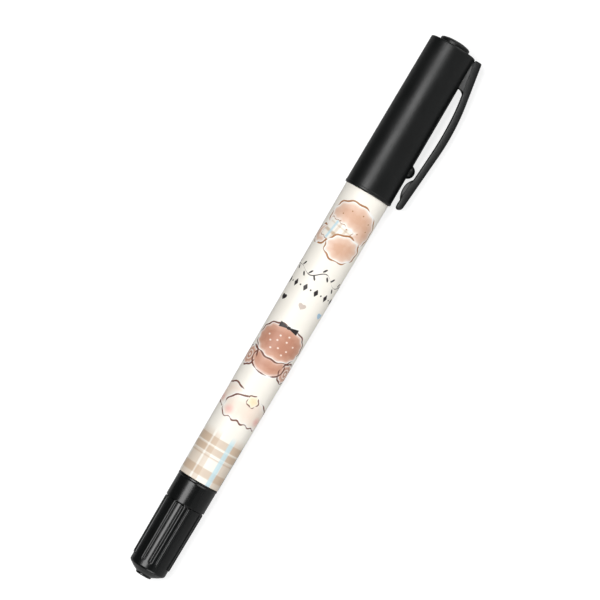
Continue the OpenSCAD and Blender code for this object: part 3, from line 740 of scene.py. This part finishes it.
# %% [markdown]
# The barrel's decoration is printed flat on a film and rolled round it by heat. Here too it is first
# laid out flat, in millimetres: "across" runs round the barrel from the facing line, "station" runs
# along it, and the artwork repeats after half a turn. Each ink is a signed distance to its nearest
# edge, below zero inside the shape, worked out at every point of a fine sleeve. The shader cuts it at
# zero, so an edge stays crisp between points, which a painted colour at the points would not.

# %% Printed sleeve
FILM_T = 0.08                      # thickness of the film
COLUMNS, PITCH = 200, 0.165        # points round the sleeve, and their spacing along it
film_x = np.linspace(FILM_START, FILM_END, round((FILM_END - FILM_START) / PITCH) + 1)
film_r = film_r_small + (film_r_big - film_r_small) * (film_x - FILM_START) / (FILM_END - FILM_START)
profile = np.vstack((np.stack((film_x, film_r), -1),
                     [(FILM_END, film_r_big - FILM_T), (FILM_START, film_r_small - FILM_T)]))
sleeve = turned("printed_sleeve", profile, print_film, COLUMNS)
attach(sleeve, "barrel")
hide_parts("print_film")

ROLL_R = (film_r_small + film_r_big) / 2
TILE = math.pi * ROLL_R            # the artwork's width: it goes round the barrel twice
across = np.tile(np.arange(COLUMNS) * 2 * np.pi / COLUMNS * ROLL_R, len(profile))
station = np.repeat(profile[:, 0], COLUMNS)
across = (across + TILE / 2) % TILE - TILE / 2
print("artwork", round(TILE, 2), "mm wide,", len(station), "points")

# %% [markdown]
# An artist draws such a print with a few brushes and stamps. Drawn shapes here are a few formulas: a
# scalloped oval, a brush line that follows any edge and swells and breaks off as a brush does, a
# heart, and a lozenge. Distances combine easily: the least of two joins shapes, the greatest cuts.

# %% Shapes of the artwork
MARGIN = 0.3                       # bare strip left round a shape that lies in front


def turned_from(centre, tilt=0.0):
    """Offsets from a centre, along a tilted pair of axes, the short way round the artwork."""
    du = (across - centre[0] + TILE / 2) % TILE - TILE / 2
    dv, t = station - centre[1], math.radians(tilt)
    return du * math.cos(t) + dv * math.sin(t), dv * math.cos(t) - du * math.sin(t)


def scalloped(centre, half_w, half_h, lobes=0, depth=0.0, tilt=0.0):
    """Signed distance to an oval whose edge waves: (rho - 1 - depth cos(lobes a)) times its mean
    half size, rho and a being the polar place on the unit circle. Also returns a."""
    du, dv = turned_from(centre, tilt)
    angle = np.arctan2(dv / half_h, du / half_w)
    rho = np.hypot(du / half_w, dv / half_h)
    size = np.hypot(half_w * np.cos(angle), half_h * np.sin(angle))
    return (rho - 1 - depth * np.cos(lobes * angle)) * size, angle


def brush(edge, angle, seed, gap=0.34, width=0.42):
    """Line at a gap outside an edge. Its half width follows slow waves of the angle, and where they
    fall below zero the line breaks off."""
    waves = 0.5 * np.sin(3 * angle + seed) + 0.4 * np.sin(7 * angle + 2.3 * seed)
    return np.abs(edge - gap) - width / 2 * np.clip(0.85 + waves, -0.6, 1)


def heart(centre, size):
    """x^2 + (y - 0.75 sqrt(|x|))^2 = 1, wider than tall, as a distance."""
    du, dv = turned_from(centre)
    x, y = du / (1.2 * size), dv / (0.82 * size) + 0.2
    return (np.hypot(x, y - 0.75 * np.sqrt(np.abs(x))) - 1) * size


def lozenge(centre, half_w, half_h, tilt=0.0):
    """|x| / w + |y| / h = 1, as a distance."""
    du, dv = turned_from(centre, tilt)
    steep = half_w * half_h / math.hypot(half_w, half_h)
    return (np.abs(du) / half_w + np.abs(dv) / half_h - 1) * steep


def over(front, back):
    """A back shape with the front one and a narrow margin round it cut away."""
    return np.maximum(back, MARGIN - front)


def nearest(*shapes):
    """Several shapes as one."""
    return np.minimum.reduce(shapes)


ink = {}                           # name of an ink: signed distance to its edge at every point
print("a heart 1 mm in size covers", int((heart((0, 70), 1.0) < 0).sum()), "points")

# %% [markdown]
# The first motif is a heap of light biscuits with a checked napkin tucked in front, the second is a
# darker biscuit tied with a black bow on a stack of smaller ones, and the third is a bank of cream
# with a small flower.

# %% Biscuits, bow and cream
PAIR = ((-5.5, 54.7), (5.7, 54.7))    # the two small biscuits at the foot of the dark stack

big, big_turn = scalloped((0.6, 91.0), 5.7, 4.3, 12, 0.03, -12)
front, front_turn = scalloped((1.5, 85.0), 3.8, 2.8, 9, 0.045, 12)
side, side_turn = scalloped((-5.0, 85.9), 2.0, 2.0, 7, 0.05)
cloth_u, cloth_v = turned_from((-1.7, 87.6), -10)
napkin = np.maximum(np.abs(cloth_u) - 2.9 - 0.16 * np.sin(3.1 * cloth_v),
                    np.abs(cloth_v) - 2.25 - 0.14 * np.sin(3.7 * cloth_u))
dark, dark_turn = scalloped((0.1, 60.2), 6.0, 3.9, 14, 0.03)
under_dark, under_turn = scalloped((0.1, 55.1), 4.1, 2.6)
left_small, left_small_turn = scalloped(PAIR[0], 2.0, 2.1, 8, 0.05)
right_small, right_small_turn = scalloped(PAIR[1], 2.0, 2.1, 8, 0.05)
bow_u, bow_v = turned_from((0.1, 64.0))
bow = np.maximum(np.abs(bow_v) - 0.14 - 0.23 * np.abs(bow_u), np.abs(bow_u) - 2.3)
bow = nearest(bow, np.maximum(np.abs(bow_u) - 0.36, np.abs(bow_v) - 0.36))
bank, bank_turn = scalloped((1.7, 42.6), 6.2, 4.0, 11, 0.02)
bank = np.maximum(bank, 40.3 + 0.22 * np.sin(2.9 * across) - station)
rise, rise_turn = scalloped((-4.3, 44.9), 4.2, 3.1, 8, 0.04)
rise = np.maximum(rise, 41.2 - station)
flower, flower_turn = scalloped((1.6, 45.9), 1.3, 1.25, 5, 0.1)

ink["light biscuit"] = nearest(over(front, over(napkin, big)), front, over(napkin, side))
ink["dark biscuit"] = nearest(dark, over(dark, nearest(under_dark, left_small, right_small)))
ink["cream"] = nearest(bank, over(bank, rise))
ink["napkin"] = over(front, napkin)
ink["flower"] = flower
ink["halo"] = nearest(ink["light biscuit"], ink["dark biscuit"], ink["napkin"]) - 0.5
holes = [scalloped((0.9 + 3.45 * math.cos(t), 91.5 + 2.3 * math.sin(t)), 0.17, 0.17)[0]
         for t in np.radians(np.arange(-150, 200, 45))]
spiral = [(2.4 * n, math.sqrt(n / 12)) for n in range(1, 12)]    # turn and reach of each fleck
flecks = [scalloped((0.1 + 4.1 * math.cos(t) * out, 60.0 + 2.5 * math.sin(t) * out), 0.24, 0.2)[0]
          for t, out in spiral]
rounds = [np.abs(scalloped(c, 1.0, 1.05)[0]) - 0.16 for c in PAIR]
dots = [scalloped(c, 0.4, 0.4)[0] for c in PAIR]
ink["pale"] = nearest(*flecks, *rounds, *dots)
hem = brush(napkin, np.arctan2(cloth_v, cloth_u), 2.0, 0.12, 0.2)
ink["gold line"] = nearest(
    over(front, over(napkin, brush(big, big_turn, 1.0))), brush(front, front_turn, 2.1),
    over(napkin, brush(side, side_turn, 4.0)), *holes, over(front, hem))
ink["brown line"] = nearest(
    brush(dark, dark_turn, 0.4), over(dark, brush(under_dark, under_turn, 3.0, 0.2)),
    over(dark, nearest(brush(left_small, left_small_turn, 5.0),
                       brush(right_small, right_small_turn, 1.7))),
    over(flower, brush(bank, bank_turn, 0.7, 0.0)), over(bank, brush(rise, rise_turn, 2.6, 0.0)),
    brush(flower, flower_turn, 1.2, 0.1, 0.3))
ink["blush"] = nearest(*[scalloped(c, 1.0, 0.8)[0]
                         for c in ((-2.4, 41.9), (5.6, 42.2), (-6.4, 43.6))])
print("inks so far", len(ink))

# %% [markdown]
# Between the motifs run a fine garland, a row of lozenges, and three small hearts. The garland's stem
# is a wave, and its leaves are narrow ovals set on alternate sides. All of it is spaced evenly within
# the artwork's width, so its two ends meet, and only the dot at that join is left out.

# %% Garland, lozenges and hearts
GARLAND_X, SWING, RIPPLE = 77.4, 0.75, 0.3    # the garland's station, and how far it waves
ROW_X, HEARTS_X, HEART = 73.7, 69.5, 0.75
LEAVES, LOZENGES = 12, 6


def vine(u):
    """Station of the garland's stem: two sines, with two and three waves to the artwork's width."""
    return (GARLAND_X + SWING * np.sin(4 * np.pi * u / TILE + 0.5)
            + RIPPLE * np.sin(6 * np.pi * u / TILE))


slope = SWING * 4 * np.pi / TILE * np.cos(4 * np.pi * across / TILE + 0.5)
garland = np.abs(station - vine(across)) / np.hypot(1, slope) - 0.09 - 0.07 * np.clip(slope, -1, 1)
leaves = []
for n in range(LEAVES):
    u, way = -TILE / 2 + (n + 0.5) * TILE / LEAVES, (-1) ** n
    leaves.append(scalloped((u, vine(u) + 0.75 * way), 0.62, 0.2, tilt=55 * way)[0])
spots = [-TILE / 2 + n * TILE / LOZENGES for n in range(LOZENGES)]
row = [lozenge((u + TILE / LOZENGES / 2, ROW_X), 0.55, 0.95) for u in spots]
row += [scalloped((u, ROW_X), 0.2, 0.2)[0] for u in spots[1:]]
ink["black"] = nearest(bow, garland, *leaves, *row, heart((0.15 - TILE / 3, HEARTS_X), HEART))
ink["tan"] = heart((0.15, HEARTS_X), HEART)
ink["blue"] = heart((0.15 + TILE / 3, HEARTS_X), HEART)
print("inks", list(ink))

# %% [markdown]
# The barrel's lower end is checked like a napkin: wide and narrow bands across, stripes along, and
# where two cross the ink lies double. It fades out upwards. Its soft edges need no distances, so each
# band or stripe is stored as a cover between 0 and 1, and what two of them leave bare multiplies.

# %% Check and napkin
BANDS = [(34.2, 0.9), (32.05, 0.75), (30.5, 0.13), (26.85, 0.95)]    # middle, half width
STRIPES = [(-4.5, 1.85), (-1.4, 0.68), (5.1, 1.95)]
FADE_TOP, FADE_LONG, SOFT = 37.4, 2.6, 0.2


def stripe(place, middle, half):
    """Soft-edged stripe: 1 within half of its middle, falling to 0 over SOFT."""
    return np.clip((half - np.abs(place - middle)) / SOFT + 0.5, 0, 1)


fade = np.clip((FADE_TOP - station) / FADE_LONG, 0, 1)
fade = fade * fade * (3 - 2 * fade)
band = sum(stripe(station, *b) for b in BANDS)
line = sum(stripe(across, *b) for b in STRIPES)
thread = stripe(station, 33.15, 0.1) + stripe(station, 31.15, 0.07) + stripe(across, -2.35, 0.1)
check_tan = (1 - (1 - 0.5 * band) * (1 - 0.4 * line)) * (1 - 0.8 * thread) * fade
check_blue = (0.8 * (stripe(across, 2.45, 0.6) + stripe(across, 7.5, 0.4))
              * fade * (1 - 0.5 * thread))
cloth_lines = stripe(cloth_u, -0.2, 0.3) + stripe(cloth_u, 1.5, 0.3) + stripe(cloth_v, 1.5, 0.16)
napkin_tan = 0.75 * (stripe(cloth_v, -0.55, 0.34) + 0.6 * cloth_lines)
napkin_blue = 0.85 * stripe(cloth_u, -1.25, 0.28)
on_napkin = np.clip(0.5 - ink["napkin"] / SOFT, 0, 1)
cover = {"check tan": check_tan, "check blue": check_blue,
         "napkin tan": on_napkin * np.clip(napkin_tan, 0, 1), "napkin blue": on_napkin * napkin_blue}
cover = {name: np.clip(values, 0, 1) for name, values in cover.items()}
for name, values in {**ink, **cover}.items():
    layer = sleeve.data.attributes.new(name, "FLOAT", "POINT")
    layer.data.foreach_set("value", values.astype(np.float32))
print("covers", {name: round(float(v.mean()), 3) for name, v in cover.items()})

# %% [markdown]
# The inks are laid one over the other in the shader, as a press lays them. A wash of watercolour is
# uneven: the ink is deepest in the middle of a shape, nearly white along its edge, and clouded by a
# noise a few millimetres wide. The film itself is a thin lacquered skin: smooth, with the slight
# orange peel of its lacquer, and unevenly glossy in the same clouds.

# %% Film's finish
CLOUD, PEEL = 2.381, 0.4545        # sizes of the watercolour's clouds and of the lacquer's peel
cloud = add(film_tree, "TexNoise", {"Scale": 1 / (CLOUD * MM), "Detail": 3.0, "Roughness": 0.6},
            Vector=film_place).outputs["Fac"]


def lay(under, name, colour, soft=0.05, strength=1.0, stored=False):
    """One ink over what lies under it. It covers fully where its distance is below -soft and not at
    all above +soft. A stored ink's value is its cover as it is."""
    amount = add(film_tree, "Attribute", {"attribute_name": name}).outputs["Fac"]
    if not stored:
        amount = add(film_tree, "MapRange", {
            "interpolation_type": "SMOOTHSTEP", "From Min": -soft, "From Max": soft,
            "To Min": strength, "To Max": 0.0}, Value=amount).outputs[0]
    mix = add(film_tree, "Mix", {"data_type": "RGBA"}, in0=amount, in6=under)
    if isinstance(colour, str):
        mix.inputs[7].default_value = linear(colour)
    else:
        film_tree.links.new(colour, mix.inputs[7])
    return mix.outputs[2]


def wash(name, edge, pale, deep):
    """A watercolour: the edge's colour, the pale one from 0.6 mm inside, and the deep one from 2 mm,
    shifted by the cloud."""
    away = add(film_tree, "Attribute", {"attribute_name": name}).outputs["Fac"]
    depth = add(film_tree, "MapRange", {"From Min": 0.0, "From Max": -2.0}, Value=away).outputs[0]
    uneven = add(film_tree, "MapRange", {"From Min": 0.3, "From Max": 0.7, "To Min": -0.3,
                                         "To Max": 0.3}, Value=cloud).outputs[0]
    both = add(film_tree, "Math", {"operation": "MULTIPLY_ADD", "use_clamp": True},
               in0=depth, in1=uneven, in2=depth)
    ramp = add(film_tree, "ValToRGB", None, Fac=both.outputs[0])
    first, last = ramp.color_ramp.elements
    first.color, last.color = linear(edge), linear(deep)
    ramp.color_ramp.elements.new(0.3).color = linear(pale)
    return ramp.outputs["Color"]


LAYERS = [                         # from the first ink laid to the last; three colours are a wash
    ("check tan", "#BD9870", {"stored": True}),
    ("check blue", "#C3E2EC", {"stored": True}),
    ("halo", "#FFFEFA", {"soft": 0.3}),
    ("cream", ("#FFFDF9", "#FBF0E4", "#F8E7D8"), {}),
    ("blush", "#F2B7AE", {"soft": 0.8, "strength": 0.7}),
    ("light biscuit", ("#FBEEE4", "#EACAB5", "#DDB297"), {"soft": 0.12}),
    ("dark biscuit", ("#F3DACC", "#D3A28B", "#C28A72"), {"soft": 0.12}),
    ("napkin", "#FBF6EC", {}),
    ("napkin tan", "#C9AE90", {"stored": True}),
    ("napkin blue", "#BFE0EC", {"stored": True}),
    ("flower", ("#FFF8E6", "#FCEBCB", "#FAE2B6"), {}),
    ("pale", "#F8E6DA", {"soft": 0.1}),
    ("gold line", "#A8713F", {}), ("brown line", "#754536", {}),
    ("tan", "#CFC0B5", {}), ("blue", "#AFD0E6", {}), ("black", "#231C1E", {})]

printed = add(film_tree, "Mix", {"data_type": "RGBA", 6: linear("#FAF5EA"), 7: linear("#FCF8EF")},
              in0=cloud).outputs[2]
for name, colour, how in LAYERS:
    if isinstance(colour, tuple):
        colour = wash(name, *colour)
    printed = lay(printed, name, colour, **how)
film_tree.links.new(printed, film_shader.inputs["Base Color"])
dull = add(film_tree, "MapRange", {"To Min": 0.42, "To Max": 0.54}, Value=cloud).outputs[0]
film_tree.links.new(dull, film_shader.inputs["Roughness"])
peel = add(film_tree, "TexNoise", {"Scale": 1 / (PEEL * MM), "Detail": 2.0}, Vector=film_place)
raised = add(film_tree, "Bump", {"Strength": 0.25, "Distance": 0.02 * MM},
             Height=peel.outputs["Fac"])
film_tree.links.new(raised.outputs["Normal"], film_shader.inputs["Normal"])
print("layers", len(LAYERS), "nodes", len(film_tree.nodes))

# %% [markdown]
# With a cap pulled off, the barrel's neck, the nib's holder and the nib show. They are turned shapes,
# so each is a lathe like the others, read from its end inwards: the necks carry two low rings that
# snap into the caps, the holders step down to a cone, and the nibs taper to their points.

# %% Barrel with its two necks
BARREL_START, BARREL_END = ends("barrel_tube")
NECK_SMALL_R = radius("barrel_tube", BARREL_START, BARREL_START)
NECK_BIG_R = radius("barrel_tube", BARREL_END, BARREL_END)
HOLDER_START, HOLDER_END = ends("fine_holder")
FINE_HOLDER_START, FINE_HOLDER_END = ends("extra_fine_holder")
body_r_small, body_r_big = film_r_small - FILM_T, film_r_big - FILM_T
SNAP_HIGH, SNAPS_SMALL, SNAPS_BIG = 0.14, (19.9, 23.1), (100.3, 105.1)


def snap_ring(x, r):
    """Low ring round a neck, 0.6 mm wide, its flanks sloped and its back rounded."""
    return [(x - 0.3, r, 0.06), (x, r + SNAP_HIGH, 0.12), (x + 0.3, r, 0.06)]


barrel = turned("barrel", rounded([
    (BARREL_START, 3.12, 0.05), (BARREL_START, NECK_SMALL_R, 0.15),
    *[point for x in SNAPS_SMALL for point in snap_ring(x, NECK_SMALL_R)],
    (FILM_START, NECK_SMALL_R, 0.1), (FILM_START, body_r_small, 0.15), (FILM_END, body_r_big, 0.15),
    (FILM_END, NECK_BIG_R, 0.1), *[point for x in SNAPS_BIG for point in snap_ring(x, NECK_BIG_R)],
    (BARREL_END, NECK_BIG_R, 0.15), (BARREL_END, 3.95, 0.1), (HOLDER_START, 3.95, 0.05),
    (FINE_HOLDER_END, 3.75, 0.05), (FINE_HOLDER_END, 3.07, 0.05),
    (BARREL_START + 0.1, 3.07, 0.03)]), cream)
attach(barrel, "barrel")
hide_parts("barrel_tube")
print("neck radii", round(NECK_SMALL_R, 2), round(NECK_BIG_R, 2))

# %% [markdown]
# The bullet nib is a felt rod ground to a rounded cone. Its holder is pressed into the neck as far as
# a flange, steps down to a sleeve that the inner cap seals on, and ends in a cone round the nib. Both
# are lathe profiles: the holder's goes out along its outside and closes through its bore.

# %% Bullet nib and its holder
NIB_TAIL, NIB_TIP = ends("fine_nib")
NIB_R = radius("fine_nib", NIB_TAIL, NIB_TAIL)
NIB_BORE, CONE_X = 1.92, 117.9     # the holder's bore, and where the nib starts to narrow
holder = turned("bullet_nib_holder", rounded([
    (HOLDER_START, NIB_BORE, 0.1), (HOLDER_START, 3.63, 0.1), (98.3, 3.93, 0.1),
    (BARREL_END, 3.93, 0.04), (BARREL_END, 4.4, 0.1), (107.7, 4.4, 0.12), (107.9, 4.2, 0.05),
    (107.9, 3.3, 0.15), (112.7, 3.3, 0.3), (116.4, 2.67, 0.1), (HOLDER_END, 2.37, 0.12),
    (HOLDER_END, NIB_BORE, 0.08)]), milky)
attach(holder, "barrel")
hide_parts("fine_holder")
nib = turned("bullet_nib", rounded([
    (NIB_TAIL, 0), (NIB_TAIL, NIB_R, 0.2), (CONE_X, NIB_R, 0.5), (NIB_TIP - 0.6, 0.74, 0.5),
    (NIB_TIP, 0.3, 0.25), (NIB_TIP, 0)], closed=False), inky_felt, columns=96, loop=False)
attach(nib, "barrel")
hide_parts("fine_nib")

# %% [markdown]
# The extra-fine nib is a thin acetal rod with a ground point, and its holder a slimmer version of the
# other, drawn in the same way from the point inwards.

# %% Extra-fine nib and its holder
FINE_TIP, FINE_TAIL = ends("extra_fine_nib")
FINE_R = radius("extra_fine_nib", FINE_TAIL, FINE_TAIL)
FINE_BORE = 0.72
fine_holder = turned("extra_fine_nib_holder", rounded([
    (FINE_HOLDER_START, FINE_BORE, 0.05), (FINE_HOLDER_START, 1.02, 0.1), (10.8, 1.27, 0.12),
    (14.3, 2.6, 0.2), (17.5, 2.6, 0.1), (17.5, 3.4, 0.08), (17.7, 3.6, 0.08),
    (BARREL_START, 3.6, 0.05), (BARREL_START, 3.05, 0.03), (25.4, 3.05, 0.05),
    (FINE_HOLDER_END, 2.75, 0.05), (FINE_HOLDER_END, FINE_BORE, 0.05)]), milky)
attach(fine_holder, "barrel")
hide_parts("extra_fine_holder")
fine_nib = turned("extra_fine_nib_point", rounded([
    (FINE_TIP, 0), (FINE_TIP, 0.2, 0.12), (10.2, FINE_R, 0.1), (FINE_TAIL, FINE_R, 0.1),
    (FINE_TAIL, 0)], closed=False), hard, columns=72, loop=False)
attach(fine_nib, "barrel")
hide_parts("extra_fine_nib")
